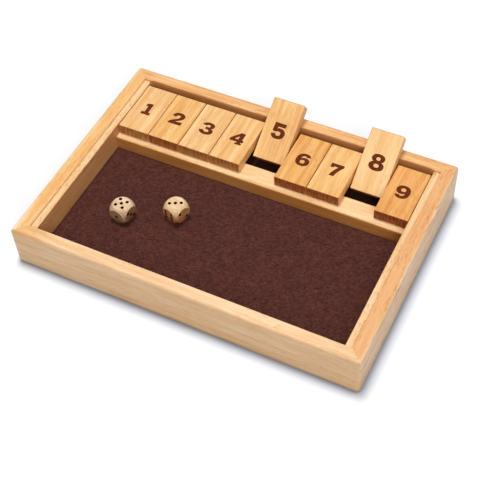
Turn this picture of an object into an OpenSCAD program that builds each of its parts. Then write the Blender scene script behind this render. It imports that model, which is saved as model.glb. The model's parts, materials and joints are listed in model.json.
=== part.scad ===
// Dice-and-tiles counting game in a wooden tray. Millimetres, +Z up.
// The origin is the middle of the tray's footprint, on the surface it stands on.
// The front is -Y, the numbered tiles hang on a rod along the back.

/* [Tray] */
// Outer width of the tray, left to right
tray_w = 282; // [270:1:320]
// Outer depth of the tray, front to back
tray_d = 196.5; // [185:0.5:230]
// Thickness of the four rails
rail_t = 11; // [8:0.5:12]
// Radius of the tray's upright outer corners
corner_r = 2.7; // [2.4:0.1:5]
// Rounding of the rails' outer top edges
outer_edge_r = 1.8; // [0.6:0.1:2.2]
// Rounding of the rails' inner top edges
inner_edge_r = 0.5; // [0.2:0.1:1]
// Rounding of the rails' outer bottom edges
bottom_edge_r = 1; // [0.4:0.1:2]
// How far the rails stand above the tops of the shut tiles
rim_h = 2.25; // [1.5:0.25:5]

/* [Base] */
// Thickness of the base panel
base_t = 4; // [3:0.5:5]
// Height of the base panel's underside above the surface
base_z = 7.5; // [6:0.5:10]
// Depth of the groove in the rails that holds the base panel
groove_d = 4; // [3:0.5:5]
// Play of the panel between the groove's lower and upper face
groove_play = 0.1; // [0.05:0.05:0.3]
// Gap between the panel's edge and the bottom of the groove
groove_end_gap = 0.5; // [0.2:0.1:1]
// Thickness of the felt in the throwing area
felt_t = 1.5; // [0.8:0.1:2]
// Gap between the felt's cut edge and the wood round it
felt_gap = 0.2; // [0.1:0.1:0.6]

/* [Side liners] */
// Thickness of the strips that line the two side rails
liner_t = 5.5; // [4.5:0.5:8]
// How far a liner's top lies below the rails' tops
liner_drop = 2; // [1:0.5:3]
// Rounding of the liners' top edges
liner_edge_r = 0.6; // [0.3:0.1:1]
// Rounding of the liners' upright corners
liner_corner_r = 1.2; // [0.5:0.1:2]

/* [Rod] */
// Diameter of the rod that the tiles turn on
rod_d = 3; // [2.5:0.1:4]
// Distance from the rod's axis to the back rail's inner face
rod_to_rail = 18.75; // [17.5:0.25:20]
// Radial clearance between the rod and a tile's hole
tile_bore_gap = 0.08; // [0.04:0.01:0.1]
// Radial clearance between the rod and its socket in a liner
socket_gap = 0.02; // [0.01:0.01:0.05]
// Bevel at the rod's two ends
rod_bevel = 0.4; // [0.2:0.1:0.8]

/* [Ledge] */
// Depth of the ledge that the tiles' front ends lie on
ledge_d = 17.2; // [13:0.2:22]
// Height of the ledge above the base panel
ledge_h = 12.5; // [11.5:0.5:14]
// Rounding of the ledge's top edges
ledge_edge_r = 1.2; // [0.3:0.1:1.5]
// Length of tile that bears on the ledge
tile_bearing = 11.7; // [8:0.1:14]

/* [Tiles] */
// Length of a tile
tile_l = 50.5; // [44:0.5:56]
// Thickness of a tile
tile_t = 9.2; // [8:0.1:10]
// Distance from the rod's axis to a tile's short end
tile_tail = 15; // [12:0.5:15]
// Rounding of a tile's edges
tile_edge_r = 0.7; // [0.3:0.1:1.1]
// Gap between two neighbouring tiles
tile_gap = 0.6; // [0.3:0.1:1]
// Gap between an outermost tile and its side liner
end_gap = 0.55; // [0.45:0.1:1.45]
// Sideways play of the row that has gathered beside the raised tiles
side_play = 2.9; // [1:0.1:5]
// Part of that play that lies beside the first raised tile
play_split = 0.8; // [0.3:0.05:0.9]
// Gap that keeps a tile just clear of what it rests on
rest_gap = 0.05; // [0.02:0.01:0.1]

/* [Dice] */
// Width of a die across its flat faces
die_w = 16; // [14:0.5:18]
// Diameter of the flat round face that a die's rounded corners leave
die_face_d = 13; // [12:0.5:15]
// Diameter of a pip
pip_d = 2.7; // [1.8:0.1:2.8]
// Depth of a pip
pip_depth = 0.9; // [0.4:0.1:1.4]
// Distance from a face's middle line to an outer pip
pip_step = 3.2; // [2.9:0.1:3.5]
// First die: distance from the left liner to its middle
die_1_from_side = 43; // [15:0.5:60]
// First die: distance from the ledge's front to its middle
die_1_from_ledge = 63.4; // [15:0.1:90]
// First die: turn about its upright axis
die_1_turn = -6.6; // [-45:0.1:45]
// Second die: distance from the left liner to its middle
die_2_from_side = 80.8; // [75:0.1:200]
// Second die: distance from the ledge's front to its middle
die_2_from_ledge = 46.2; // [15:0.1:90]
// Second die: turn about its upright axis
die_2_turn = -17.9; // [-45:0.1:45]

/* [Hidden] */
$fn = 64;

// Cutters run past the solid by this much
over = 1;
// Tiles in the row, and the ones that stand open
tile_count = 9;
raised_tiles = [5, 8];

// Clear space between the rails, and between the liners
clear_w = tray_w - 2 * rail_t;
clear_d = tray_d - 2 * rail_t;
well_w = clear_w - 2 * liner_t;
// Levels
base_top = base_z + base_t;
felt_top = base_top + felt_t;
ledge_top = base_top + ledge_h;
tile_top = ledge_top + rest_gap + tile_t;
rail_h = tile_top + rim_h;
liner_top = rail_h - liner_drop;
// The rod, at the middle of a shut tile's thickness
rod_y = clear_d / 2 - rod_to_rail;
rod_z = tile_top - tile_t / 2;
// The ledge follows the front ends of the shut tiles
tile_front_y = rod_y - (tile_l - tile_tail);
ledge_back_y = tile_front_y + tile_bearing;
ledge_front_y = ledge_back_y - ledge_d;
// A tile's width is what the well leaves after all gaps
tile_w = (well_w - 2 * end_gap - (tile_count - 1) * tile_gap - side_play) / tile_count;
// An open tile leans back on the back rail's inner top edge: the rounding's centre, seen
// from the rod, and the angle at which the tile's back just clears it
lean_dy = rod_to_rail + inner_edge_r;
lean_dz = rail_h - inner_edge_r - rod_z;
lean_reach = tile_t / 2 + inner_edge_r + rest_gap;
lean_angle = atan2(lean_dz, lean_dy) + asin(lean_reach / norm([lean_dy, lean_dz]));
// Turn of a tile from lying shut to leaning open
open_turn = 180 - lean_angle;
// The ball that rounds a die's corners
die_ball_r = norm([die_w, die_face_d]) / 2;

wood = "burlywood";
pale_wood = "wheat";
tile_wood = "sandybrown";

// ---- outlines ----

// What a rounding of radius r takes off the corner at the origin of the first quadrant
module corner_waste(r) {
    difference() {
        translate([-over, -over]) square(r + over);
        translate([r, r]) circle(r);
    }
}

// Rectangle from the origin with its own rounding at each corner, 0 for a sharp one
module eased_rect(w, h, low_left = 0, low_right = 0, top_left = 0, top_right = 0) {
    difference() {
        square([w, h]);
        if (low_left > 0) corner_waste(low_left);
        if (low_right > 0) translate([w, 0]) mirror([1, 0]) corner_waste(low_right);
        if (top_left > 0) translate([0, h]) mirror([0, 1]) corner_waste(top_left);
        if (top_right > 0) translate([w, h]) rotate(180) corner_waste(top_right);
    }
}

// Block centred on X, from y = 0 and z = 0, extruded along X with eased long edges
module eased_bar(length, depth, height, r) {
    translate([-length / 2, 0, 0]) rotate([90, 0, 90]) linear_extrude(length)
        eased_rect(depth, height, top_left = r, top_right = r);
}

// ---- tray ----

// Section of a rail, outer face at x = 0
module rail_section() {
    eased_rect(rail_t, rail_h, low_left = bottom_edge_r, top_left = outer_edge_r,
               top_right = inner_edge_r);
}

// Quarter turn of the section's outer part about an upright corner's axis
module rail_corner() {
    rotate_extrude(angle = 90) intersection() {
        translate([corner_r, 0]) mirror([1, 0]) rail_section();
        square([corner_r, rail_h]);
    }
}

// One rail, outer face on y = 0 and inner face towards +Y, mitred at both ends
module rail(length) {
    straight = length - 2 * corner_r;
    difference() {
        intersection() {
            union() {
                translate([-straight / 2, 0, 0]) rotate([90, 0, 90])
                    linear_extrude(straight) rail_section();
                translate([-straight / 2, corner_r, 0]) rotate(180) rail_corner();
                translate([straight / 2, corner_r, 0]) rotate(-90) rail_corner();
            }
            linear_extrude(rail_h)
                polygon([[-length / 2, 0], [length / 2, 0],
                         [length / 2 - rail_t, rail_t], [-length / 2 + rail_t, rail_t]]);
        }
        translate([-length / 2, rail_t - groove_d, base_z])
            cube([length, groove_d + over, base_t + groove_play]);
    }
}

module rail_front() {
    color(wood) translate([0, -tray_d / 2, 0]) rail(tray_w);
}

module rail_back() {
    color(wood) translate([0, tray_d / 2, 0]) rotate(180) rail(tray_w);
}

module rail_left() {
    color(wood) translate([-tray_w / 2, 0, 0]) rotate(-90) rail(tray_d);
}

module rail_right() {
    color(wood) translate([tray_w / 2, 0, 0]) rotate(90) rail(tray_d);
}

// Plywood panel that lies in the rails' grooves
module base_panel() {
    reach = 2 * (groove_d - groove_end_gap);
    color("tan") translate([-(clear_w + reach) / 2, -(clear_d + reach) / 2, base_z])
        cube([clear_w + reach, clear_d + reach, base_t]);
}

// Felt between the front rail, the liners and the ledge
module felt_mat() {
    mat_w = well_w - 2 * felt_gap;
    mat_d = ledge_front_y + clear_d / 2 - 2 * felt_gap;
    color("maroon") translate([-mat_w / 2, felt_gap - clear_d / 2, base_top])
        cube([mat_w, mat_d, felt_t]);
}

// Strip on the base panel against the left rail, its inner face on x = -well_w / 2.
// Its socket carries one end of the rod.
module liner() {
    difference() {
        intersection() {
            translate([-clear_w / 2, -clear_d / 2, base_top])
                linear_extrude(liner_top - base_top)
                eased_rect(liner_t, clear_d, liner_corner_r, liner_corner_r,
                           liner_corner_r, liner_corner_r);
            translate([-clear_w / 2, clear_d / 2, base_top]) rotate([90, 0, 0])
                linear_extrude(clear_d)
                eased_rect(liner_t, liner_top - base_top, top_left = liner_edge_r,
                           top_right = liner_edge_r);
        }
        translate([-clear_w / 2 - over, rod_y, rod_z]) rotate([0, 90, 0])
            cylinder(h = liner_t + 2 * over, d = rod_d + 2 * socket_gap);
    }
}

module liner_left() {
    color(pale_wood) liner();
}

module liner_right() {
    color(pale_wood) mirror([1, 0, 0]) liner();
}

// Strip across the tray that the shut tiles lie on
module tile_ledge() {
    color(pale_wood) translate([0, ledge_front_y, base_top])
        eased_bar(well_w, ledge_d, ledge_h, ledge_edge_r);
}

// ---- tiles on their rod ----

// Steel rod from rail to rail, through both liners and all the tiles
module pivot_rod() {
    color("silver") translate([-clear_w / 2, rod_y, rod_z]) rotate([0, 90, 0])
        rotate_extrude() polygon([[0, 0], [rod_d / 2 - rod_bevel, 0], [rod_d / 2, rod_bevel],
                                  [rod_d / 2, clear_w - rod_bevel],
                                  [rod_d / 2 - rod_bevel, clear_w], [0, clear_w]]);
}

// Play to the left of tile n: each raised tile stands in the middle of its share
function play_before(n) =
    let (first = side_play * play_split, second = side_play - first)
    (n > raised_tiles[0] ? first : n == raised_tiles[0] ? first / 2 : 0)
    + (n > raised_tiles[1] ? second : n == raised_tiles[1] ? second / 2 : 0);

// Middle of tile n, from the left end of the row
function tile_x(n) =
    -well_w / 2 + end_gap + (n - 1) * (tile_w + tile_gap) + tile_w / 2 + play_before(n);

function is_raised(n) = len([for (t = raised_tiles) if (t == n) t]) > 0;

// A tile about its hole: the hole runs along X, the long end points to -Y
module tile_blank() {
    front = tile_tail - tile_l;
    r = tile_edge_r;
    difference() {
        intersection() {
            // thickness and length, seen from the side
            translate([-tile_w / 2, front, -tile_t / 2]) rotate([90, 0, 90])
                linear_extrude(tile_w) eased_rect(tile_l, tile_t, r, r, r, r);
            // width and length, seen from above
            translate([-tile_w / 2, front, -tile_t / 2]) linear_extrude(tile_t)
                eased_rect(tile_w, tile_l, r, r, r, r);
            // width and thickness, seen from the end
            translate([-tile_w / 2, front + tile_l, -tile_t / 2]) rotate([90, 0, 0])
                linear_extrude(tile_l) eased_rect(tile_w, tile_t, r, r, r, r);
        }
        translate([-tile_w / 2 - over, 0, 0]) rotate([0, 90, 0])
            cylinder(h = tile_w + 2 * over, d = rod_d + 2 * tile_bore_gap);
    }
}

// Tile n where it stands: shut on the ledge, or flipped over and leaning back
module tile(n) {
    color(tile_wood) translate([tile_x(n), rod_y, rod_z])
        rotate([is_raised(n) ? -open_turn : 0, 0, 0]) tile_blank();
}

// ---- dice ----

// Places of the pips on a face, in pip steps, for the values 1 to 6
function pips(value) =
    value == 1 ? [[0, 0]] :
    value == 2 ? [[-1, -1], [1, 1]] :
    value == 3 ? concat(pips(1), pips(2)) :
    value == 4 ? concat(pips(2), [[-1, 1], [1, -1]]) :
    value == 5 ? concat(pips(1), pips(4)) :
    concat(pips(4), [[-1, 0], [1, 0]]);

// Drill points of one face, sunk from the face at z = die_w / 2, turned by quarters
module face_pips(value, quarters) {
    tip = pip_d / 4;
    rotate(90 * quarters) for (p = pips(value))
        translate([p[0] * pip_step, p[1] * pip_step, die_w / 2 - pip_depth]) {
            cylinder(h = pip_depth + over, d = pip_d, $fn = 24);
            translate([0, 0, -tip]) cylinder(h = tip, d1 = 0, d2 = pip_d, $fn = 24);
        }
}

// Die on the felt at the origin of its footprint. Opposite faces add up to seven, so
// the values on the top, the front and the right settle all six: each is a pair of the
// value and its quarter turns.
module die(top, front, right) {
    translate([0, 0, die_w / 2]) difference() {
        intersection() {
            cube(die_w, center = true);
            sphere(die_ball_r, $fn = 96);
        }
        face_pips(top[0], top[1]);
        rotate([180, 0, 0]) face_pips(7 - top[0], 0);
        rotate([90, 0, 0]) face_pips(front[0], front[1]);
        rotate([90, 0, 180]) face_pips(7 - front[0], 0);
        rotate([90, 0, 90]) face_pips(right[0], right[1]);
        rotate([90, 0, 270]) face_pips(7 - right[0], 0);
    }
}

// Place of a die, measured from the left liner and from the ledge's front
module put_die(from_side, from_ledge, turn) {
    translate([from_side - well_w / 2, ledge_front_y - from_ledge, felt_top + rest_gap])
        rotate(turn) children();
}

module die_1() {
    color("antiquewhite") put_die(die_1_from_side, die_1_from_ledge, die_1_turn)
        die([5, 0], [1, 0], [3, 1]);
}

module die_2() {
    color("antiquewhite") put_die(die_2_from_side, die_2_from_ledge, die_2_turn)
        die([3, 0], [6, 0], [2, 1]);
}

rail_front();
rail_back();
rail_left();
rail_right();
base_panel();
felt_mat();
liner_left();
liner_right();
tile_ledge();
pivot_rod();
for (n = [1 : tile_count])
    tile(n);
die_1();
die_2();
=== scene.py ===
"""The looks of a wooden shut-the-box tray: nine numbered tiles that flip over on a rod, a felt floor and
two dice."""

import json
import math

import bmesh
import bpy
from bpy.props import FloatProperty, FloatVectorProperty, PointerProperty
from mathutils import Matrix, Vector, noise
from mathutils.geometry import tessellate_polygon


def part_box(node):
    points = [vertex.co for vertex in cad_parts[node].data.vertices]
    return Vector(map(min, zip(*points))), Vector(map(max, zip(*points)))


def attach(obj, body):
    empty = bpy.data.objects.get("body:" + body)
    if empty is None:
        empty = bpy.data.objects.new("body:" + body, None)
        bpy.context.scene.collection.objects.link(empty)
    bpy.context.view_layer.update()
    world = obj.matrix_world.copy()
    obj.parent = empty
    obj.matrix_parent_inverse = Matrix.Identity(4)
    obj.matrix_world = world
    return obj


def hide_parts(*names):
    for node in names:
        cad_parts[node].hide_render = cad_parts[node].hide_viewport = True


bl_info = {
    "name": "Shut-the-box tray",
    "version": (1, 0, 0),
    "blender": (4, 5, 0),
    "location": "3D View > Sidebar > Tray",
    "description": "Finishes a shut-the-box tray: wood, felt, numbered tiles, dice and a small studio",
    "category": "Object",
}

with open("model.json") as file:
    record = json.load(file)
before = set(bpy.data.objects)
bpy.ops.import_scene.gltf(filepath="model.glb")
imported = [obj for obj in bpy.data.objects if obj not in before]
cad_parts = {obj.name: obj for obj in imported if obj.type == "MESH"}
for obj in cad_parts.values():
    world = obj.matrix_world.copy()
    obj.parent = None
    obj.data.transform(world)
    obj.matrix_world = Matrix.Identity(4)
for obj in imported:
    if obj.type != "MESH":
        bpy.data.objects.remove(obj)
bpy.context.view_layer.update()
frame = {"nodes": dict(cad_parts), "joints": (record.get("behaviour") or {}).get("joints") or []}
NODES = frame["nodes"]
MM = 0.001


def tint(red, green, blue):
    """A colour given as it looks on a screen, 0 to 255, as the linear one that a shader takes.
    One that only tints another may pass 255, and so brightens it."""
    return tuple(((c / 255 + 0.055) / 1.055) ** 2.4 if c > 10 else c / 255 / 12.92
                 for c in (red, green, blue))


def scaled(tone, factors):
    """A tone with its red, green and blue each multiplied."""
    return tuple(c * k for c, k in zip(tone, factors))


def between(one, other, amount):
    """A tone part of the way from one to another."""
    return tuple(a + (b - a) * amount for a, b in zip(one, other))


def colour(name, description, red, green, blue):
    """A colour that a user may change."""
    return FloatVectorProperty(name=name, description=description, subtype="COLOR", size=3, min=0, max=1,
                               default=tint(red, green, blue))


def length(name, description, millimetres):
    """A length that a user may change."""
    return FloatProperty(name=name, description=description, default=millimetres * MM, min=0,
                         subtype="DISTANCE", unit="LENGTH", precision=5)


def share(name, description, value, top=1.0):
    """A plain number that a user may change."""
    return FloatProperty(name=name, description=description, default=value, min=0, max=top,
                         subtype="FACTOR")


def power(name, description, watts):
    """A lamp's power, which a user may change."""
    return FloatProperty(name=name, description=description, default=watts, min=0, unit="POWER")


# ---- sizes and colours

class WoodLooks(bpy.types.PropertyGroup):
    """Colours of the tray's wood and of its rod."""
    front: colour("Front rail", "Mean tone of the front rail", 251, 210, 162)
    left: colour("Left rail", "Mean tone of the left rail", 249, 190, 118)
    back: colour("Back rail", "Mean tone of the back rail", 246, 190, 127)
    right: colour("Right rail", "Mean tone of the right rail's outside", 246, 211, 170)
    liner: colour("Liners", "Close-grained strips inside the side rails", 248, 210, 158)
    ledge: colour("Ledge", "Smooth board under the tiles' fronts", 251, 209, 154)
    base: colour("Base", "Base panel's underside", 205, 164, 116)
    # painted shade: the base's top is this dark so that the slot behind the ledge, under the tiles, looks
    # deep in shade
    slot_shade: colour("Stain", "Dark stain on top of the base, behind the ledge", 60, 25, 15)
    steel: colour("Rod", "Drawn steel rod", 128, 117, 102)
    dashes: share("Pores", "How strongly the short dark pores show", 0.55)


class TileLooks(bpy.types.PropertyGroup):
    """Sizes and colours of the numbered tiles."""
    pale: colour("Pale tile", "Tone of a pale tile", 252, 205, 143)
    deep: colour("Deep tile", "Tone of a deep tile", 240, 174, 98)
    end_pale: colour("Pale end", "Tint of a pale tile's end grain", 206, 180, 142)
    end_deep: colour("Deep end", "Tint of a deep tile's end grain", 184, 130, 78)
    number: colour("Number", "Burnt and stained figure", 115, 52, 26)
    number_height: length("Number height", "Height of a figure", 12.9)
    number_depth: length("Number depth", "How deep a figure is sunk", 0.2)
    number_from_rod: length("Number place", "From the rod to the middle of a figure", 10.2)
    edge_round: length("Edge", "Rounding of a tile's edges", 0.7)


class FeltLooks(bpy.types.PropertyGroup):
    """The felt floor."""
    light: colour("Light fibres", "Paler fibres of the felt", 106, 63, 55)
    dark: colour("Dark fibres", "Darker fibres of the felt", 55, 16, 10)
    swell: length("Swell", "How far the felt's surface rises and falls", 0.16)
    waver: length("Cut edge", "How far the cut edge wavers", 0.12)


class DiceLooks(bpy.types.PropertyGroup):
    """The wooden dice."""
    tone: colour("Die", "Mean tone of a die", 246, 212, 176)
    pip: colour("Pip", "Paint in the pips", 36, 15, 4)


class StudioLooks(bpy.types.PropertyGroup):
    """The floor and the lamps."""
    floor: colour("Floor", "Plain pale floor", 204, 204, 208)
    sky: share("Sky", "Strength of the even light all round", 0.31, 3)
    key: power("Key lamp", "Power of the soft lamp overhead", 25.0)
    fill: power("Fill lamp", "Power of the wide lamp at the front right", 16.0)


def looks(group):
    """The property group of this name, with the values that hold now."""
    return getattr(bpy.context.scene, "tray_" + group)


# ---- shader nodes

# The name of a piece's coordinates, in millimetres, as it was made
KEPT = "made_at"
# How far, in widths, the border of a tint strays
STRAY = 1.8
WHITE = (1.0, 1.0, 1.0, 1.0)


class Finish:
    """The nodes of a material or of the world, with short ways to add and join them."""

    def __init__(self, owner):
        self.owner = owner
        owner.use_nodes = True
        self.tree = owner.node_tree
        self.tree.nodes.clear()

    @classmethod
    def named(cls, name):
        """The finish of a new material."""
        return cls(bpy.data.materials.new(name))

    def join(self, source, target):
        self.tree.links.new(source, target)

    def feed(self, socket, value):
        """Joins another node's output to a socket, or sets the socket to a plain value."""
        if isinstance(value, bpy.types.NodeSocket):
            self.join(value, socket)
        else:
            socket.default_value = value

    def add(self, kind, *inputs, **settings):
        """A new node. The inputs fill its sockets in order."""
        node = self.tree.nodes.new("ShaderNode" + kind)
        for key, value in settings.items():
            setattr(node, key, value)
        for place, value in enumerate(inputs):
            self.feed(node.inputs[place], value)
        return node

    def math(self, operation, *inputs, clamp=False):
        return self.add("Math", *inputs, operation=operation, use_clamp=clamp).outputs[0]

    def times(self, *inputs, clamp=False):
        return self.math("MULTIPLY", *inputs, clamp=clamp)

    def vector(self, operation, *inputs):
        return self.add("VectorMath", *inputs, operation=operation).outputs[0]

    def swing(self, value, amount, middle=0.5):
        """How far a value lies from its middle, times an amount."""
        return self.times(self.math("SUBTRACT", value, middle), amount)

    def mix(self, factor, a, b, blend="MIX"):
        node = self.add("Mix", data_type="RGBA", blend_type=blend)
        # a Mix node's sockets for the factor and for two colours
        for place, value in ((0, factor), (6, a), (7, b)):
            self.feed(node.inputs[place], (*value, 1.0) if isinstance(value, tuple) else value)
        return node.outputs[2]

    def tinged(self, base, tinge):
        """The base multiplied by a tint or by a grey."""
        return self.mix(1.0, base, tinge, "MULTIPLY")

    def ramp(self, factor, *stops):
        """A smooth grey ramp: stops are (place, grey)."""
        node = self.add("ValToRGB", factor)
        node.color_ramp.interpolation = "EASE"
        while len(node.color_ramp.elements) < len(stops):
            node.color_ramp.elements.new(0.5)
        for element, (place, grey) in zip(node.color_ramp.elements, stops):
            element.position = place
            element.color = (grey, grey, grey, 1)
        return node.outputs[0]

    def noise(self, vector, scale=1.0, detail=3.0, rough=0.5, twist=0.0):
        node = self.add("TexNoise", vector)
        for key, value in (("Scale", scale), ("Detail", detail), ("Roughness", rough), ("Distortion", twist)):
            node.inputs[key].default_value = value
        return node.outputs[0]

    def surface(self, base, roughness, height, depth, **constant):
        """The last nodes: a principled shader, its bump of a depth in metres and the output.
        Constants go on the shader itself."""
        shader = self.add("BsdfPrincipled", base)
        self.feed(shader.inputs["Roughness"], roughness)
        for key, value in constant.items():
            shader.inputs[key.replace("_", " ")].default_value = value
        bump = self.add("Bump", 1.0, depth)
        self.join(height, bump.inputs["Height"])
        self.join(bump.outputs[0], shader.inputs["Normal"])
        self.add("OutputMaterial", shader.outputs[0])
        return self.owner

    def place(self, turn=(0, 0, 0), shift=(0, 0, 0), kept=False):
        """The piece's own coordinates in millimetres, and the same turned so that x runs along the grain.
        A piece that was turned into place keeps the ones that it was made in."""
        if kept:
            own = self.add("Attribute", attribute_name=KEPT).outputs["Vector"]
        else:
            own = self.vector("MULTIPLY", self.add("TexCoord").outputs["Object"], (1 / MM,) * 3)
        node = self.add("Mapping", own, vector_type="TEXTURE")
        node.inputs["Rotation"].default_value = turn
        return own, self.vector("ADD", node.outputs[0], shift)

    def beside(self, own, axis, place, width, stray=None):
        """1 within half a width of a place, in millimetres, and 0 from one and a half away. A width below
        zero gives 0 there and 1 away from it. Stray, a noise, makes the border uneven."""
        away = self.add("SeparateXYZ", own).outputs["xyz".index(axis)]
        away = self.math("DIVIDE", self.math("ABSOLUTE", self.math("SUBTRACT", away, place)), abs(width))
        if stray is not None:
            away = self.math("ADD", away, self.swing(stray, STRAY))
        near = self.math("SUBTRACT", 1.5, away, clamp=True)
        return near if width > 0 else self.math("SUBTRACT", 1.0, near)

    def edges(self, own, low, high, width):
        """1 on the edges of a box given in millimetres, 0 from width away."""
        middle = tuple((a + b) / 2 for a, b in zip(low, high))
        half = tuple((b - a) / 2 for a, b in zip(low, high))
        away = self.vector("ABSOLUTE", self.vector("SUBTRACT", own, middle))
        x, y, z = self.add("SeparateXYZ", self.vector("SUBTRACT", half, away)).outputs
        # the second smallest of the three distances from the box's faces
        second = self.math("MAXIMUM", self.math("MINIMUM", x, y),
                           self.math("MINIMUM", self.math("MAXIMUM", x, y), z))
        return self.math("SUBTRACT", 1.0, self.math("DIVIDE", second, width), clamp=True)


# ---- wood

# How much paler and deeper early and late wood are than the mean, for red, green and blue
PALER = (1.05, 1.13, 1.26)
DEEPER = (0.86, 0.71, 0.52)
# What streaks, pores, the dark lines across an end and rubbed edges make of the wood's own tone
GOLDEN = (0.78, 0.56, 0.3)
PINK = (0.9, 0.66, 0.52)
PORE = (0.66, 0.4, 0.22)
END_LINE = (0.5, 0.36, 0.3)
RUBBED = (0.72, 0.5, 0.34)
# The turn that brings x along the grain
ALONG = {"x": (0, 0, 0), "y": (0, 0, math.radians(90))}
# How far one board's place in the noise is from the next one's, in millimetres
SEED_STEP = (37.3, 11.9, 23.7)
# The board's distance from the tree's heart and how far the rings stray, in millimetres
HEART, HEART_STEP, RING_DRIFT = 46.0, 9.0, 30.0
# How much the rings show, and their mean grey
RING_SHARE, RING_MEAN = 0.3, 0.45
# How much the fibres vary the roughness, and what hairs add to the bump and pores take from it
ROUGH_SHARE, HAIR_SHARE, PORE_SHARE = 0.25, 0.4, 0.9
# How deep the grain is as a bump, in metres, and how much lacquered wood shines
GRAIN_DEPTH = 0.00004
LACQUER = 0.42
# Scale and place of the lines across an end, how far round it they reach, and the width of a rubbed edge
END_SCALE, END_STEP, END_REACH, RUBBED_WIDTH = (0.55, 0.0, 0.05), 5.3, 0.4, 0.9
# The grain's layers: scale along it and across it, per millimetre, then detail, roughness and twist
LAYERS = {
    "wander": (0.006, 0.035, 2, 0.5, 0.0),
    "cloud": (0.02, 0.11, 3, 0.55, 0.0),
    "line": (0.022, 0.36, 4, 0.6, 0.15),
    "fibre": (0.1, 1.6, 3, 0.6, 0.0),
    "hair": (0.16, 7.5, 2, 0.5, 0.0),
    "streak": (0.012, 0.33, 3, 0.6, 0.35),
    "clump": (0.025, 0.09, 2, 0.5, 0.0),
    "pore": (0.17, 1.3, 2, 0.6, 0.0),
    "stray": (0.022, 0.3, 3, 0.6, 0.0),
    "patch": (0.12, 0.3, 3, 0.5, 0.0),
    "burnt": (0.1, 3.0, 4, 0.5, 0.0),
}
FINER = ("fibre", "hair", "pore")
# Ramps of (place, grey). In a ring early wood darkens slowly to a line of late wood.
RAMPS = {
    "ring": ((0.0, 0.1), (0.55, 0.3), (0.85, 1.0), (1.0, 0.1)),
    "streak": ((0.5, 0.0), (0.66, 1.0)),
    "clump": ((0.42, 0.0), (0.6, 1.0)),
    "pore": ((0.55, 0.0), (0.64, 1.0)),
    "hair": ((0.3, 0.92), (0.7, 1.0)),
    "patch": ((0.35, 0.25), (0.65, 1.0)),
    "end": ((0.46, 0.0), (0.58, 1.0)),
    "burnt": ((0.35, 0.0), (0.65, 1.0)),
    "scorch": ((0.35, 0.82), (0.65, 1.0)),
}


class Wood(Finish):
    """Planed and lacquered wood of one mean tone. Seed is the board's place in the tree, and fine is how much
    finer than in coarse wood the fibres and pores are."""

    def __init__(self, name, turn, tone, seed, fine=1.0, kept=False):
        super().__init__(bpy.data.materials.new(name))
        self.tone, self.seed, self.fine = tone, seed, fine
        self.own, self.grain = self.place(turn, tuple(seed * step for step in SEED_STEP), kept)

    def layer(self, name):
        """One layer of the grain, as a noise."""
        along, across, detail, rough, twist = LAYERS[name]
        fine = self.fine if name in FINER else 1.0
        scale = (along * fine, across * fine, across * fine)
        return self.noise(self.vector("MULTIPLY", self.grain, scale), detail=detail, rough=rough, twist=twist)

    def ramped(self, name):
        """A layer of the grain, through its ramp."""
        return self.ramp(self.layer(name), *RAMPS[name])

    def banded(self, contrast, rings, weights, fibre):
        """Rings, in millimetres, as bands where the board is cut lengthways, and clouds, lines and fibres,
        with their weights."""
        pale, deep = (tuple(min(1.0, c * k ** contrast) for c, k in zip(self.tone, scale))
                      for scale in (PALER, DEEPER))
        _, side, up = self.add("SeparateXYZ", self.grain).outputs
        lift = self.math("ADD", side, self.swing(self.layer("wander"), RING_DRIFT))
        low = self.math("ADD", up, HEART + HEART_STEP * (self.seed % 3))
        square = self.math("ADD", self.times(lift, lift), self.times(low, low))
        ring = self.ramp(self.math("FRACT", self.math("DIVIDE", self.math("SQRT", square), rings)),
                         *RAMPS["ring"])
        total = self.swing(ring, RING_SHARE, RING_MEAN)
        for part, weight in zip((self.layer("cloud"), self.layer("line"), fibre), weights):
            total = self.math("ADD", total, self.swing(part, weight))
        return self.mix(self.math("ADD", total, 0.5, clamp=True), pale, deep)

    def streaked(self, base, streaks, blush):
        """Broad warm streaks, golden or, with a blush, pink."""
        warm = scaled(self.tone, between(GOLDEN, PINK, blush))
        return self.mix(self.times(self.ramped("streak"), streaks), base, warm)

    def pores(self):
        """Short dark dashes, more of them in some places than in others."""
        return self.times(self.ramped("pore"), self.math("ADD", 0.25, self.ramped("clump")))

    def tinted(self, base, faces):
        """Each of the faces is what tint takes and its places (axis, place, width) in millimetres, which all
        have to hold. Most tints given here are painted highlights and painted shade; a few are the wood's own
        tone."""
        stray = self.layer("stray")
        for tinge, *places in faces:
            amount = 1.0
            for axis, place, width in places:
                amount = self.times(amount, self.beside(self.own, axis, place, width, stray))
            base = self.mix(amount, base, self.tinged(base, tint(*tinge)))
        return base

    def end_grain(self, base, box, ends):
        """Both ends of a board that lies along y: tints of pale and of dark end grain, and the dark share.
        The rings stand upright across an end."""
        pale, dark, depth = ends
        across = self.vector("MULTIPLY", self.own, END_SCALE)
        lines = self.noise(self.vector("ADD", across, (self.seed * END_STEP, 0, 0)), rough=0.7)
        lines = self.times(self.ramp(lines, *RAMPS["end"]), 0.6 + 0.4 * depth)
        tinge = self.mix(lines, between(pale, dark, depth), scaled(dark, END_LINE))
        for _, end, _ in box:
            base = self.mix(self.beside(self.own, "y", end, END_REACH), base, self.tinged(base, tinge))
        return base

    def rubbed(self, base, box, wear):
        """Edges rubbed darker here and there by hands."""
        rim = self.times(self.edges(self.own, *box, RUBBED_WIDTH), self.ramped("patch"))
        return self.mix(self.times(rim, wear), base, scaled(self.tone, RUBBED))


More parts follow.
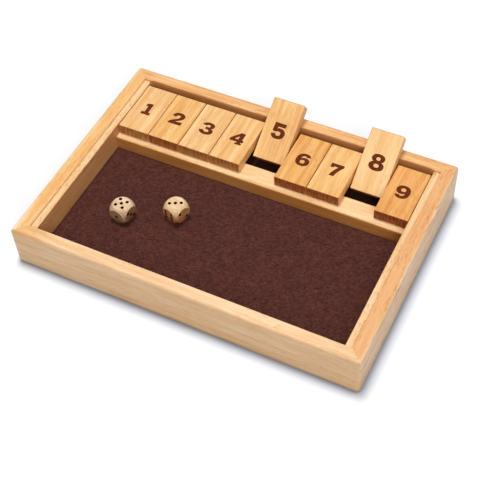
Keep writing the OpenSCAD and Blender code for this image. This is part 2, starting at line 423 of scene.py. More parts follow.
def wood(name, turn, tone, seed, *, rings, dashes, contrast=1.0, weights=(1.3, 2.0, 1.2), fine=1.0,
         rough=0.48, streaks=0.0, blush=0.0, faces=(), box=None, wear=0.0, ends=None, kept=False):
    """A material of wood. Dashes is how much its pores show, and Wood says what the other parts are. Wear
    and ends need the piece's box in millimetres."""
    w = Wood(name, turn, tone, seed, fine, kept)
    fibre = w.layer("fibre")
    hair = w.layer("hair")
    pores = w.pores()
    base = w.banded(contrast, rings, weights, fibre)
    if streaks:
        base = w.streaked(base, streaks, blush)
    base = w.mix(w.times(pores, dashes, clamp=True), base, scaled(tone, PORE))
    base = w.tinged(base, w.ramp(hair, *RAMPS["hair"]))
    if faces:
        base = w.tinted(base, faces)
    if ends:
        base = w.end_grain(base, box, ends)
    if wear:
        base = w.rubbed(base, box, wear)
    height = w.math("ADD", fibre, w.times(hair, HAIR_SHARE))
    height = w.math("SUBTRACT", height, w.times(pores, PORE_SHARE))
    return w.surface(base, w.math("ADD", rough, w.swing(fibre, ROUGH_SHARE)), height, GRAIN_DEPTH,
                     Specular_IOR_Level=LACQUER)


def finish_node(node, *materials):
    """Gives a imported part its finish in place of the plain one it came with."""
    obj = NODES[node]
    obj.data.materials.clear()
    for material in materials:
        obj.data.materials.append(material)
    return obj


def box_mm(node):
    """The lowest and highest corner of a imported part, in millimetres."""
    low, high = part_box(node)
    return tuple(c / MM for c in low), tuple(c / MM for c in high)


# ---- pieces of mesh

def mesh_of(name, bm):
    """The mesh that a bmesh has built up."""
    mesh = bpy.data.meshes.new(name)
    bm.to_mesh(mesh)
    bm.free()
    return mesh


def new_object(name, data, place=Matrix()):
    """An object for a mesh, a lamp or a camera, put into the scene."""
    obj = bpy.data.objects.new(name, data)
    bpy.context.scene.collection.objects.link(obj)
    obj.matrix_world = place
    bpy.context.view_layer.update()
    return obj


def settle(obj):
    """Applies the object's modifiers, so that the mesh is what shows."""
    bpy.context.view_layer.update()
    final = bpy.data.meshes.new_from_object(obj.evaluated_get(bpy.context.evaluated_depsgraph_get()))
    obj.modifiers.clear()
    obj.data = final


# Figures, 100 units high from their foot: M starts an outline, L and C go on by lines and by curves, until
# the next letter. A nine is a six that is turned.
FIGURES = {
    1: "M0 0 L62 0 62 22 46 22 46 100 28 100 4 93 4 71 19 75 19 22 0 22",
    2: "M0 0 L89 0 91 28 44 24 C64 39 88 49 88 72 88 91 71 102 46 102 22 102 5 90 3 67 L30 63 "
       "C31 74 36 80 45 80 53 80 58 76 58 69 58 55 35 44 17 30 6 22 0 14 0 0",
    3: "M3 77 C8 93 24 102 46 102 70 102 86 92 86 75 86 64 80 57 70 53 84 49 92 41 92 28 "
       "92 9 73 -2 46 -2 21 -2 4 9 0 28 L28 34 C30 25 36 20 45 20 56 20 63 24 63 31 "
       "63 38 57 42 46 42 L33 42 33 62 45 62 C54 62 59 65 59 71 59 77 54 81 46 81 "
       "38 81 33 77 31 71",
    4: "M49 100 L80 100 80 43 91 43 91 22 80 22 80 13 88 13 88 0 44 0 44 13 52 13 52 22 "
       "0 22 0 41 M52 43 L29 43 52 72",
    5: "M8 100 L82 100 82 76 33 76 32 64 C37 67 43 68 50 68 74 68 89 55 89 34 89 12 71 -2 43 -2 "
       "19 -2 3 8 0 27 L28 32 C30 24 35 20 43 20 53 20 60 25 60 33 60 42 53 47 44 47 "
       "36 47 31 45 27 41 L4 45",
    6: "M85 77 C80 94 66 102 47 102 17 102 0 82 0 48 0 16 17 -2 46 -2 72 -2 89 12 89 34 "
       "89 54 75 67 54 67 44 67 35 64 29 58 30 73 37 81 47 81 54 81 58 78 60 72 "
       "M46 47 C56 47 61 41 61 33 61 24 56 19 46 19 37 19 31 24 31 33 31 41 37 47 46 47",
    7: "M0 100 L83 100 83 81 C65 60 53 34 48 0 L17 0 C22 30 34 54 50 76 L23 76 23 66 0 66",
    8: "M46 102 C71 102 87 92 87 75 87 64 81 57 71 53 85 49 93 41 93 28 93 9 74 -2 46 -2 "
       "18 -2 -1 9 -1 28 -1 41 7 49 21 53 11 57 5 64 5 75 5 92 21 102 46 102 "
       "M46 83 C54 83 59 79 59 72 59 66 54 62 46 62 38 62 33 66 33 72 33 79 38 83 46 83 "
       "M46 41 C56 41 62 37 62 30 62 23 56 18 46 18 36 18 30 23 30 30 30 37 36 41 46 41",
}
FIGURE_UNITS = 100
CURVE_STEPS = 8


def curve(start, numbers):
    """The points of a curve after its start, by its two handles and its end."""
    ends = (start, numbers[0:2], numbers[2:4], numbers[4:6])
    points = []
    for step in range(1, CURVE_STEPS + 1):
        t = step / CURVE_STEPS
        s = 1 - t
        weights = (s ** 3, 3 * s * s * t, 3 * s * t * t, t ** 3)
        points.append(tuple(sum(w * end[i] for w, end in zip(weights, ends)) for i in range(2)))
    return points


def outlines(figure):
    """The figure's outlines as lists of points, about its middle."""
    turned = figure == 9
    found = []
    numbers, kind = [], ""
    for word in FIGURES[6 if turned else figure].split():
        letter = word[0] if word[0].isalpha() else ""
        kind = letter or kind
        numbers.append(float(word[len(letter):]))
        if kind in "ML" and len(numbers) == 2:
            if kind == "M":
                found.append([])
            found[-1].append(tuple(numbers))
            numbers = []
        elif kind == "C" and len(numbers) == 6:
            found[-1] += curve(found[-1][-1], numbers)
            numbers = []
    xs = [x for x, _ in found[0]]
    middle = (min(xs) + max(xs)) / 2
    for points in found:
        if math.dist(points[0], points[-1]) < 0.01:
            points.pop()
        points[:] = [(x - middle, y - FIGURE_UNITS / 2) for x, y in points]
        if turned:
            points[:] = [(-x, -y) for x, y in points]
    return found


def figure_block(figure, height, depth):
    """A closed block in the figure's shape, from z -depth to 1 mm above its face, for cutting."""
    scale = height / FIGURE_UNITS
    loops = [[Vector((x * scale, y * scale, 0)) for x, y in points] for points in outlines(figure)]
    flat = [p for points in loops for p in points]
    bm = bmesh.new()
    low = [bm.verts.new((p.x, p.y, -depth)) for p in flat]
    high = [bm.verts.new((p.x, p.y, MM)) for p in flat]
    for a, b, c in tessellate_polygon(loops):
        bm.faces.new((high[a], high[b], high[c]))
        bm.faces.new((low[c], low[b], low[a]))
    first = 0
    for points in loops:
        for i in range(len(points)):
            a, b = first + i, first + (i + 1) % len(points)
            bm.faces.new((low[a], low[b], high[b], high[a]))
        first += len(points)
    bmesh.ops.recalc_face_normals(bm, faces=bm.faces)
    return mesh_of("figure", bm)


# ---- operators

class TrayRails(bpy.types.Operator):
    """Gives the four mitred rails their planed, lacquered wood, with the grain along each rail"""
    bl_idname = "tray.rails"
    bl_label = "Rails"

    def execute(self, context):
        tray = looks("wood")
        tones_and_painted_light = self.tones_and_painted_light()
        # the grain's direction, the mean tone, the seed, the contrast and how much the pores show
        for node, along, tone, seed, contrast, porous in (
                ("rail_front", "x", tray.front, 1, 0.7, 0.6),
                ("rail_left", "y", tray.left, 2, 0.9, 0.8),
                ("rail_back", "x", tray.back, 3, 1.0, 1.0),
                ("rail_right", "y", tray.right, 34, 0.8, 1.5)):
            finish_node(node, wood(node + "_wood", ALONG[along], tone, seed, rings=6.5,
                                   dashes=tray.dashes * porous, contrast=contrast, faces=tones_and_painted_light[node],
                                   box=box_mm(node), wear=0.12))
        return {"FINISHED"}

    @staticmethod
    def tones_and_painted_light():
        """Where each rail is paler or deeper than its mean tone: tone along the rails and at the mitres,
        painted highlights on eased edges and a corner, and painted shade on edges, on the back rail's inner
        face and towards the floor.
        """
        (left, front, _), (lined, _, _) = box_mm("rail_left")
        right, back, top = box_mm("rail_right")[1]
        inside = box_mm("liner_left")[1][1]
        # painted shade on the back rail's inner face stops short of the liners' ends, where the back rail
        # shows and no tile shades it
        liners = (box_mm(liner) for liner in ("liner_left", "liner_right"))
        painted_shade_places = [("x", (low[0] + high[0]) / 2, -4) for low, high in liners]
        return {
            "rail_front": [
                ((246, 234, 204), ("z", top, 1.5), ("x", left, 22)),
                # painted highlight on the rounded front-left corner
                ((250, 264, 280), ("x", left, 2.5)),
                ((251, 249, 246), ("z", top, 1.5), ("x", right, 25)),
                # painted shade on the rounded front top edge, which dims its highlight
                ((228, 226, 228), ("z", top, 1.2), ("y", front, 1.2)),
                # painted shade towards the floor, bluish at the very bottom
                ((247, 247, 242), ("z", 0, 9)),
                ((206, 210, 229), ("z", 0, 2.2))],
            "rail_left": [
                ((257, 268, 287), ("y", front, 28)),
                # painted highlight along the rounded outer top edge
                ((250, 284, 335), ("x", left, 3), ("z", top, 3)),
                # painted light on the inner top edge and on the wall above the liner, which lie in shade
                ((254, 258, 276), ("x", lined, 1.8)),
                ((263, 288, 300), ("x", lined, 0.3))],
            "rail_back": [
                # painted shade on the back rail's inner face and its top edge, where the tiles shade it
                ((241, 220, 201), ("y", inside, 1.1), *painted_shade_places),
                ((208, 198, 190), ("y", inside, 1.0), ("z", top, 0.8), *painted_shade_places),
                ((241, 240, 232), ("y", back, 1.5))],
            "rail_right": [
                # painted shading of a wider rounded outer edge: the top takes a deeper tone except near the
                # outer edge and the front mitre, and the outer edge is greyed
                ((248, 216, 181), ("z", top, 1.3), ("x", right, -1.9), ("y", front, -3.4)),
                ((236, 236, 240), ("z", top, 1.2), ("x", right, 1.0)),
                # painted shade towards the floor
                ((239, 246, 250), ("z", 0, 5))],
        }


class TrayLinersAndLedge(bpy.types.Operator):
    """Finishes the strips inside the side rails and the ledge that the tiles lie on"""
    bl_idname = "tray.liners_and_ledge"
    bl_label = "Liners and ledge"

    def execute(self, context):
        tray = looks("wood")
        rod = box_mm("pivot_rod")[0][1]
        for node, seed in (("liner_left", 5), ("liner_right", 6)):
            low, high = box_mm(node)
            inner = high[0] if node == "liner_left" else low[0]
            # painted shade on the inner face, which lies in shade; near the rod painted light on it as well,
            # which brightens the narrow gap beside the end tiles
            faces = [((238, 210, 186), ("x", inner, 0.3)),
                     ((281, 330, 373), ("x", inner, 0.3), ("y", rod, 20))]
            finish_node(node, wood(node + "_wood", ALONG["y"], tray.liner, seed, rings=3.0,
                                   dashes=tray.dashes * 1.4, contrast=0.7, fine=1.4, faces=faces,
                                   box=(low, high), wear=0.2))
        low, high = box_mm("tile_ledge")
        # painted shade on the ledge's front face
        faces = [((217, 182, 134), ("y", low[1], 0.6))]
        finish_node("tile_ledge", wood("ledge_wood", ALONG["x"], tray.ledge, 7, rings=9.0,
                                       dashes=tray.dashes * 0.4, faces=faces, box=(low, high), wear=0.2))
        return {"FINISHED"}


class TrayBaseAndRod(bpy.types.Operator):
    """Finishes the base panel, painted dark on top where no felt lies so that the slot behind the ledge looks
    deep in shade, and the steel rod
    """
    bl_idname = "tray.base_and_rod"
    bl_label = "Base and rod"

    def execute(self, context):
        tray = looks("wood")
        plain = wood("base_wood", ALONG["x"], tray.base, 8, rings=7.0, dashes=tray.dashes)
        # painted shade: dark wood on the base's top, seen in the slot behind the ledge
        painted_shade_base = wood("base_painted_shade", ALONG["x"], tray.slot_shade, 9, rings=7.0, dashes=0.3, rough=0.7)
        base = finish_node("base_panel", plain, painted_shade_base)
        for face in base.data.polygons:
            face.material_index = 1 if face.normal.z > 0.9 else 0
        finish_node("pivot_rod", self.steel(tuple(tray.steel)))
        return {"FINISHED"}

    @staticmethod
    def steel(tone):
        """Drawn steel: fine lines along the rod, and smudges."""
        f = Finish.named("rod_steel")
        own, _ = f.place()
        drawn = f.noise(f.vector("MULTIPLY", own, (0.02, 9, 9)))
        smudge = f.noise(own, scale=0.12, detail=2)
        rough = f.math("ADD", 0.26, f.times(drawn, 0.12))
        shade = f.mix(smudge, scaled(tone, (0.8,) * 3), tone)
        return f.surface(shade, rough, drawn, 0.00001, Metallic=1.0)


FELT_COLUMNS, FELT_ROWS = 150, 70
# How wide the roll of the felt's edge is, how far apart its swells and its edge's wavers are, and the room
# that the swell has
FELT_ROLL, SWELL_SPAN, WAVER_SPAN, SWELL_ROOM = 1.2 * MM, 9 * MM, 5 * MM, 0.2 * MM
# How the felt's clumps lie, in degrees, and the scales of clumps and of strands that cross
FELT_LAY = 26
CLUMP_SCALE, STRAND_SCALE, CROSS_SCALE = (0.45, 0.66, 0.5), (0.5, 2.6, 2.6), (2.6, 0.7, 2.6)
# How much clumps and strands show in the felt's tone, and what brings it back to its middle
CLUMP_SHARE, NAP_SHARE, FELT_MIDDLE = 2.3, 0.9, 1.12
# How much the lint shows, and how much paler it is than the light fibres
LINT_SHARE, LINT_PALER = 0.35, 2.2
FELT_DEPTH = 0.0003


class TrayFelt(bpy.types.Operator):
    """Lays the felt floor: a cut sheet that swells a little, with a slightly uneven edge"""
    bl_idname = "tray.felt"
    bl_label = "Felt floor"

    def execute(self, context):
        felt = looks("felt")
        low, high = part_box("felt_mat")
        mesh = self.sheet(felt, low, high)
        mesh.materials.append(self.fibres(felt))
        floor = new_object("felt_floor", mesh)
        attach(floor, "tray")
        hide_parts("felt_mat")
        return {"FINISHED"}

    @staticmethod
    def point(felt, low, high, i, j, top):
        """A point of the sheet's top or underside."""
        x = low.x + (high.x - low.x) * i / FELT_COLUMNS
        y = low.y + (high.y - low.y) * j / FELT_ROWS
        z = low.z
        if top:
            near = min(x - low.x, high.x - x, y - low.y, high.y - y)
            ease = max(0.0, 1 - near / FELT_ROLL)
            roll = 0.2 * (high.z - low.z) * ease * ease
            rise = felt.swell * noise.fractal(Vector((x, y, 0)) / SWELL_SPAN, 1.0, 2.0, 3)
            z = high.z - SWELL_ROOM + max(-SWELL_ROOM, min(SWELL_ROOM, rise)) - roll
        shrink = felt.waver * (0.5 + 0.5 * noise.noise(Vector((x, y, 7)) / WAVER_SPAN))
        x += shrink * ((i == 0) - (i == FELT_COLUMNS))
        y += shrink * ((j == 0) - (j == FELT_ROWS))
        return x, y, z

    def sheet(self, felt, low, high):
        """The felt's underside, top and cut edge as one closed mesh."""
        columns, rows = FELT_COLUMNS, FELT_ROWS
        bm = bmesh.new()
        layers = [[[bm.verts.new(self.point(felt, low, high, i, j, top)) for i in range(columns + 1)]
                   for j in range(rows + 1)] for top in (False, True)]
        for top, grid in enumerate(layers):
            for j in range(rows):
                for i in range(columns):
                    quad = (grid[j][i], grid[j][i + 1], grid[j + 1][i + 1], grid[j + 1][i])
                    bm.faces.new(quad if top else quad[::-1])
        rim = [(0, i) for i in range(columns)] + [(j, columns) for j in range(rows)]
        rim += [(rows, i) for i in range(columns, 0, -1)] + [(j, 0) for j in range(rows, 0, -1)]
        for (a, b), (c, d) in zip(rim, rim[1:] + rim[:1]):
            bm.faces.new((layers[0][a][b], layers[0][c][d], layers[1][c][d], layers[1][a][b]))
        mesh = mesh_of("felt_floor", bm)
        mesh.shade_smooth()
        return mesh

    @staticmethod
    def fibres(felt):
        """Pressed brown felt: clumps, strands that cross, a few specks of pale lint and a little sheen."""
        f = Finish.named("felt_brown")
        own, lay = f.place((0, 0, math.radians(FELT_LAY)))
        cloud = f.noise(own, scale=0.14, detail=4, rough=0.6)
        clump = f.noise(f.vector("MULTIPLY", lay, CLUMP_SCALE), detail=5, rough=0.66, twist=0.2)
        strand = f.noise(f.vector("MULTIPLY", own, STRAND_SCALE), twist=1.6)
        cross = f.noise(f.vector("MULTIPLY", own, CROSS_SCALE), twist=1.6)
        nap = f.times(f.math("ADD", strand, cross), 0.5)
        tone = f.math("ADD", f.times(clump, CLUMP_SHARE), f.times(nap, NAP_SHARE))
        tone = f.math("SUBTRACT", tone, FELT_MIDDLE, clamp=True)
        base = f.mix(tone, tuple(felt.dark), tuple(felt.light))
        base = f.tinged(base, f.ramp(cloud, (0.3, 0.82), (0.7, 1.0)))
        lint = f.ramp(f.noise(own, scale=2.6, detail=1, twist=3.0), (0.72, 0.0), (0.8, 1.0))
        base = f.mix(f.times(lint, LINT_SHARE), base,
                     tuple(min(1.0, c * LINT_PALER) for c in felt.light))
        height = f.math("ADD", nap, f.times(clump, 0.8))
        return f.surface(base, 0.95, height, FELT_DEPTH, Specular_IOR_Level=0.15, Sheen_Weight=0.12,
                         Sheen_Roughness=0.5, Sheen_Tint=(0.8, 0.55, 0.45, 1.0))


# Each tile's wood, mostly from 0 to 1: how deep its tone is, how golden, how strong its bands are and how
# pink, how deep its ends are, and how much its dark pores show
TILE_WOOD = {
    1: (0.15, 0.0, 0.3, 0.0, 0.0, 0.3),
    2: (0.33, 0.75, 0.5, 0.0, 0.9, 0.4),
    3: (0.05, 0.1, 0.25, 0.0, 0.45, 0.3),
    4: (0.25, 0.35, 0.35, 0.0, 0.2, 0.3),
    5: (0.22, 0.4, 0.6, 1.0, 0.4, 0.4),
    6: (0.7, 0.7, 0.7, 0.0, 0.85, 0.4),
    7: (0.3, 0.6, 0.4, 0.0, 0.9, 0.3),
    8: (-0.12, 0.01, 0.0, 0.0, 0.3, 0.3),
    9: (1.0, 0.1, 0.6, 0.0, 1.0, 0.5),
}
TILE_SEED = 10
BORE_RADIUS, BORE_SIDES = 1.58 * MM, 40
EDGE_STEPS = 4
# Faces that meet at more degrees than this keep their crease
CREASE = 32
# A shut tile is far lower than this, and a raised one far higher
RAISED = 20 * MM


class TrayTiles(bpy.types.Operator):
    """Makes the nine tiles: eased edges, a bore for the rod and a sunk, burnt figure on both faces"""
    bl_idname = "tray.tiles"
    bl_label = "Tiles"

    def execute(self, context):
        tile = looks("tiles")
        joints = {joint["child"]: joint for joint in frame["joints"]}
        axis = Vector(joints["tile_1"]["pos_m"])
        shut_low, shut_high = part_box("tile_1")
        front, back = shut_low.y - axis.y, shut_high.y - axis.y
        wide, thick = shut_high.x - shut_low.x, shut_high.z - shut_low.z
        # the corners of a shut tile about its rod, in millimetres
        half = Vector((wide, 0, thick)) / 2 / MM
        box = (-half.x, front / MM, -half.z), (half.x, back / MM, half.z)
        burnt = self.burnt_wood(tile.number)
        for number, look in TILE_WOOD.items():
            node = "tile_%d" % number
            low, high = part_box(node)
            body = self.blank(node, wide, front, back, thick, tile.edge_round)
            body.materials.append(self.tile_wood(tile, number, look, box))
            body.materials.append(burnt)
            obj = new_object("numbered_" + node, body)
            self.cut(obj, self.cutters(tile, number, wide, thick, burnt))
            made_at = obj.data.attributes.new(KEPT, "FLOAT_VECTOR", "POINT")
            made_at.data.foreach_set("vector", [c / MM for v in obj.data.vertices for c in v.co])
            if high.z - low.z > RAISED:
                obj.data.transform(Matrix.Rotation(self.open_turn(node), 4, "X"))
            obj.matrix_world = Matrix.Translation(((low.x + high.x) / 2, axis.y, axis.z))
            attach(obj, node)
            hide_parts(node)
        return {"FINISHED"}

    @staticmethod
    def tile_wood(tile, number, look, box):
        """The wood of one tile, between the pale and the deep tone."""
        depth, gold, bands, blush, ends, pores = look
        tone = [min(1.0, c) for c in between(tile.pale, tile.deep, depth)]
        tone[2] *= 1 - 0.2 * gold
        return wood("tile_%d_wood" % number, ALONG["y"], tone, TILE_SEED + number,
                    rings=4.5 + 0.7 * (number % 4), dashes=pores, contrast=min(1.0, 0.6 + 1.6 * bands),
                    weights=(1.6, 2.2, 0.7), streaks=bands, blush=blush, box=box, wear=0.3,
                    ends=(tile.end_pale, tile.end_deep, ends), kept=True)

    @staticmethod
    def blank(name, wide, front, back, thick, edge):
        """A bar with every edge eased, its rod's axis along x through the origin."""
        bm = bmesh.new()
        bmesh.ops.create_cube(bm, size=1)
        bmesh.ops.scale(bm, vec=(wide, back - front, thick), verts=bm.verts)
        bmesh.ops.translate(bm, vec=(0, (front + back) / 2, 0), verts=bm.verts)
        bmesh.ops.bevel(bm, geom=bm.edges[:], offset=edge, segments=EDGE_STEPS, profile=0.5,
                        affect="EDGES")
        return mesh_of(name, bm)

    @staticmethod
    def cutters(tile, number, wide, thick, burnt):
        """What is cut out of a blank: the bore, and the figure from above and from below."""
        bm = bmesh.new()
        bmesh.ops.create_cone(bm, cap_ends=True, segments=BORE_SIDES, radius1=BORE_RADIUS,
                              radius2=BORE_RADIUS, depth=wide * 1.2)
        bmesh.ops.rotate(bm, matrix=Matrix.Rotation(math.pi / 2, 3, "Y"), verts=bm.verts)
        cutters = [new_object("cut_bore", mesh_of("bar", bm))]
        for face in (1, -1):
            block = figure_block(number, tile.number_height, tile.number_depth)
            block.materials.append(None)
            block.materials.append(burnt)
            for polygon in block.polygons:
                polygon.material_index = 1
            turn = Matrix.Identity(4) if face == 1 else Matrix.Rotation(math.pi, 4, "X")
            place = Matrix.Translation((0, -tile.number_from_rod, face * thick / 2))
            cutters.append(new_object("cut_figure", block, place @ turn))
        return cutters

    @staticmethod
    def cut(obj, cutters):
        """Cuts the cutters out, and shades the rest smooth with creases where faces meet sharply."""
        for cutter in cutters:
            cut = obj.modifiers.new("cut", "BOOLEAN")
            cut.operation, cut.solver, cut.object = "DIFFERENCE", "EXACT", cutter
        settle(obj)
        for cutter in cutters:
            bpy.data.objects.remove(cutter)
        obj.data.shade_smooth()
        obj.data.set_sharp_from_angle(angle=math.radians(CREASE))
        even = obj.modifiers.new("even", "WEIGHTED_NORMAL")
        even.keep_sharp = True
        settle(obj)

    @staticmethod
    def open_turn(node):
        """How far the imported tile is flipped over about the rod, from the way its broad faces look."""
        face = max(NODES[node].data.polygons, key=lambda f: f.area)
        angle = math.atan2(-face.normal.y, face.normal.z)
        return angle if angle < 0 else angle - math.pi

    @staticmethod
    def burnt_wood(tone):
        """Figures burnt in: dark and dull, with the wood's fibres still showing."""
        f = Wood("burnt_number", ALONG["y"], tone, 0, kept=True)
        fibre = f.layer("burnt")
        scorch = f.ramp(f.noise(f.grain, scale=0.5), *RAMPS["scorch"])
        dark, pale = scaled(tone, (0.72,) * 3), scaled(tone, (1.15,) * 3)
        base = f.tinged(f.mix(f.ramp(fibre, *RAMPS["burnt"]), dark, pale), scorch)
        return f.surface(base, 0.8, fibre, 0.00008, Specular_IOR_Level=0.06)


# Each die: its turn on the felt in degrees, its seed, how golden it is, and its painted shade: what the
# upright faces make of its tone, the tints low on them and on the right one, and the tint low on the round
# and its height, in mm
DICE = {
    "die_1": {"turn": -6.6, "seed": 31, "gold": 0.0, "sides": (0.52, 0.45, 0.38),
              "foot": (182, 161, 141), "right": (225, 205, 188),
              "below": (139, 124, 105), "reach": 10.5},
    "die_2": {"turn": -17.9, "seed": 32, "gold": 0.1, "sides": (0.82, 0.58, 0.44),
              "foot": (194, 160, 122), "right": (227, 231, 212),
              "below": (178, 129, 89), "reach": 8.5},
}
# A face of a die this near a side of its cube is on that side, and one this far inside its ball is in a pip
ON_SIDE, IN_PIP = 0.04 * MM, 0.15 * MM


class TrayDice(bpy.types.Operator):
    """Finishes the two wooden dice and paints their pips"""
    bl_idname = "tray.dice"
    bl_label = "Dice"

    def execute(self, context):
        dice = looks("dice")
        paint = self.pip_paint(dice.pip)
        for node, die in DICE.items():
            low, high = box_mm(node)
            gold = die["gold"]
            tone = scaled(dice.tone, (1, 1 - 0.1 * gold, 1 - gold))
            # painted shade: the round darker low down, the upright faces darker low down and the right one
            # darker still, and the upright faces darker as a whole
            below = (die["below"], ("z", low[2], die["reach"]))
            foot = (die["foot"], ("z", low[2], 5))
            right = (die["right"], ("x", high[0], 3))
            grain, painted_shade_wood = (wood(node + name, (0, 0, math.radians(die["turn"])), shade, die["seed"],
                                rings=2.6, dashes=dashes, contrast=0.8 + 2 * gold, fine=1.4, faces=faces)
                           for name, shade, dashes, faces in (
                               ("_wood", tone, 0.3, [below]),
                               ("_shaded_side", scaled(tone, die["sides"]), 0.5, [foot, right])))
            self.sort_faces(finish_node(node, grain, paint, painted_shade_wood), *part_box(node), die["turn"])
        return {"FINISHED"}

    @staticmethod
    def pip_paint(tone):
        """Dark brown paint, a little uneven."""
        f = Finish.named("pip_paint")
        own, _ = f.place()
        brush = f.noise(own, scale=2.0)
        shade = f.mix(brush, scaled(tone, (0.7,) * 3), scaled(tone, (1.3,) * 3))
        return f.surface(shade, 0.8, brush, GRAIN_DEPTH, Specular_IOR_Level=0.03)

    @staticmethod
    def sort_faces(obj, low, high, turn):
        """Grain on the round, the top and the underside, paint in the pips, and on the upright faces a darker
        wood, which is painted shade.
        """
        centre, half = (low + high) / 2, (high.z - low.z) / 2
        ball = max((v.co - centre).length for v in obj.data.vertices)
        square = Matrix.Rotation(math.radians(-turn), 3, "Z")
        for face in obj.data.polygons:
            spot = square @ (face.center - centre)
            if half - max(abs(c) for c in spot) > ON_SIDE:
                face.material_index = 1 if spot.length < ball - IN_PIP else 0
            else:
                # upright faces take the darker wood: painted shade
                face.material_index = 2 if abs(face.normal.z) < 0.5 else 0


# The camera's azimuth, elevation and roll in degrees, where it looks and from how far, and its lens as the
# length in pixels of a picture this many across
CAMERA_TURNS = 29.67, 51.10, -4.17
CAMERA_AIM_MM, CAMERA_DISTANCE = (5.36, -9.69, -1.0), 0.830
LENS_PIXELS, PICTURE_PIXELS, SENSOR_MM = 1071.7, 480, 36
# The lamps' sizes and places in metres, and where they look
KEY_LAMP = 0.54, (-0.19, 0.2, 2.1)
FILL_LAMP = 1.2, (1.1, -1.3, 1.5)
LAMP_AIM = (0, 0, 0.02)
# The floor's size, and how far it lies below the tray's underside
FLOOR_SIZE, FLOOR_DROP = 3.0, 0.0002
# How near to the tray, in metres, the floor is painted dark as contact shadow, and how far its painted soft
# shade reaches
CONTACT_REACH, SHADE_REACH = 0.007, 0.02
# The floor as it is seen: its tone, the painted contact shadow's tone, the painted soft shade's tint and
# side, and a faint cool glow
PAPER, CONTACT, SHADE, SHADE_SIDE = (0.98, 0.975, 0.99), (0.44, 0.375, 0.375), (0.82, 0.88, 0.98), (3, -4, 0)
GLOW = (0.35, 0.6, 0.75, 1.0), 0.1
# From where to where, in metres, the floor fades into the white behind it, as a ramp
HORIZON = (0.35, 0.0), (0.7, 1.0)
WARM_WHITE = (1.0, 0.985, 0.96, 1.0)


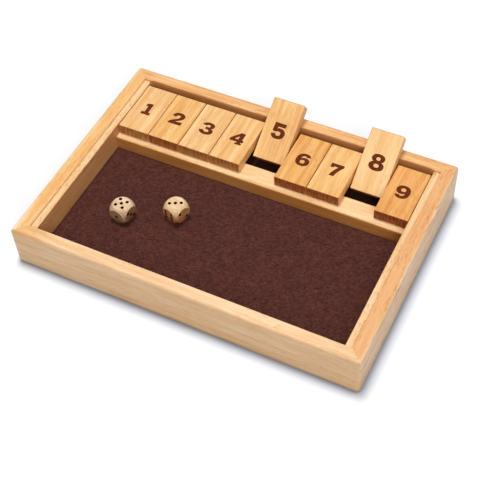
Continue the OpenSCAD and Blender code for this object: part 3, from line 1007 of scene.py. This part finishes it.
class TrayStudio(bpy.types.Operator):
    """Sets the pale floor, the soft lamps and the camera"""
    bl_idname = "tray.studio"
    bl_label = "Studio"

    def execute(self, context):
        studio = looks("studio")
        scene = context.scene
        scene.view_settings.view_transform = "Standard"
        self.camera(scene)
        self.floor(studio)
        self.sky(scene, studio)
        self.lamp("key_lamp", studio.key, *KEY_LAMP)
        self.lamp("fill_lamp", studio.fill, *FILL_LAMP)
        return {"FINISHED"}

    @staticmethod
    def camera(scene):
        azimuth, elevation, roll = (math.radians(turn) for turn in CAMERA_TURNS)
        back = Vector((math.sin(azimuth) * math.cos(elevation), -math.cos(azimuth) * math.cos(elevation),
                       math.sin(elevation)))
        right = (-back).cross(Vector((0, 0, 1))).normalized()
        up = right.cross(-back)
        across = math.cos(roll) * right + math.sin(roll) * up
        upright = math.cos(roll) * up - math.sin(roll) * right
        data = bpy.data.cameras.new("camera")
        data.sensor_width = SENSOR_MM
        data.lens = LENS_PIXELS / PICTURE_PIXELS * SENSOR_MM
        data.clip_start, data.clip_end = 0.01, 20
        turned = Matrix((across, upright, back)).transposed().to_4x4()
        place = Vector(CAMERA_AIM_MM) * MM + back * CAMERA_DISTANCE
        scene.camera = new_object("camera", data, Matrix.Translation(place) @ turned)

    @staticmethod
    def seen_ray(f):
        """1 for rays from the camera, or seen in gloss or through glass."""
        path = f.add("LightPath").outputs
        seen = f.math("MAXIMUM", path["Is Camera Ray"], path["Is Glossy Ray"])
        return f.math("MAXIMUM", seen, path["Is Transmission Ray"])

    def floor(self, studio):
        """The floor lights the tray as a matt one does, and shows as white paper with the tray's shadow from
        the lamps, deepened by a painted contact shadow and painted soft shade.
        """
        bm = bmesh.new()
        bmesh.ops.create_grid(bm, x_segments=1, y_segments=1, size=FLOOR_SIZE)
        floor = new_object("studio_floor", mesh_of("studio_floor", bm),
                           Matrix.Translation((0, 0, -FLOOR_DROP)))
        f = Finish.named("studio_floor")
        matt = f.add("BsdfDiffuse", (*studio.floor, 1.0))
        # painted shadow from ambient occlusion: the dark line where the tray stands on the floor
        contact = f.add("AmbientOcclusion", WHITE, CONTACT_REACH, samples=16).outputs["AO"]
        tone = f.mix(f.ramp(contact, (0.4, 0.0), (0.92, 1.0)), CONTACT, PAPER)
        # painted shade from ambient occlusion, wider on the side away from the key lamp
        around = f.add("AmbientOcclusion", WHITE, SHADE_REACH, samples=16).outputs["AO"]
        spot = f.add("TexCoord").outputs["Object"]
        away = f.add("VectorMath", spot, SHADE_SIDE, operation="DOT_PRODUCT").outputs["Value"]
        away = f.ramp(f.math("ADD", away, 0.5), (0.3, 0.0), (0.7, 1.0))
        shade = f.times(away, f.ramp(around, (0.6, 1.0), (0.99, 0.0)))
        tone = f.mix(shade, tone, f.tinged(tone, SHADE))
        shown = f.add("AddShader", f.add("BsdfDiffuse", tone).outputs[0],
                      f.add("Emission", *GLOW).outputs[0])
        # far from the tray the floor is as white as what stands behind it
        out = f.add("VectorMath", spot, operation="LENGTH").outputs["Value"]
        shown = f.add("MixShader", f.ramp(out, *HORIZON), shown.outputs[0],
                      f.add("Emission", WHITE, 1.0).outputs[0])
        mix = f.add("MixShader", self.seen_ray(f), matt.outputs[0], shown.outputs[0])
        f.add("OutputMaterial", mix.outputs[0])
        floor.data.materials.append(f.owner)

    def sky(self, scene, studio):
        """An even, slightly warm light all round, which shows as white."""
        scene.world = bpy.data.worlds.new("studio")
        f = Finish(scene.world)
        even = f.add("Background", WARM_WHITE, studio.sky)
        white = f.add("Background", WHITE, 1.0)
        mix = f.add("MixShader", self.seen_ray(f), even.outputs[0], white.outputs[0])
        f.add("OutputWorld", mix.outputs[0])

    @staticmethod
    def lamp(name, energy, size, place):
        data = bpy.data.lights.new(name, "AREA")
        data.shape, data.size, data.energy = "DISK", size, energy
        lamp = new_object(name, data)
        lamp.location = place
        lamp.rotation_euler = (Vector(place) - Vector(LAMP_AIM)).to_track_quat("Z", "Y").to_euler()


# ---- add-on

OPERATORS = (TrayRails, TrayLinersAndLedge, TrayBaseAndRod, TrayFelt, TrayTiles, TrayDice, TrayStudio)
GROUPS = {"wood": WoodLooks, "tiles": TileLooks, "felt": FeltLooks, "dice": DiceLooks, "studio": StudioLooks}


class TrayPanel(bpy.types.Panel):
    """Lists the steps that finish the tray"""
    bl_idname = "TRAY_PT_steps"
    bl_label = "Shut-the-box tray"
    bl_space_type = "VIEW_3D"
    bl_region_type = "UI"
    bl_category = "Tray"

    def draw(self, context):
        for operator in OPERATORS:
            self.layout.operator(operator.bl_idname)
        for name, group in GROUPS.items():
            box = self.layout.box()
            for key in group.__annotations__:
                box.prop(looks(name), key)


def register():
    for group in GROUPS.values():
        bpy.utils.register_class(group)
    for name, group in GROUPS.items():
        setattr(bpy.types.Scene, "tray_" + name, PointerProperty(type=group))
    for operator in (*OPERATORS, TrayPanel):
        bpy.utils.register_class(operator)


def unregister():
    for operator in (TrayPanel, *reversed(OPERATORS)):
        bpy.utils.unregister_class(operator)
    for name, group in GROUPS.items():
        delattr(bpy.types.Scene, "tray_" + name)
        bpy.utils.unregister_class(group)


def main():
    register()
    for operator in OPERATORS:
        family, name = operator.bl_idname.split(".")
        getattr(getattr(bpy.ops, family), name)()


if __name__ == "__main__":
    main()
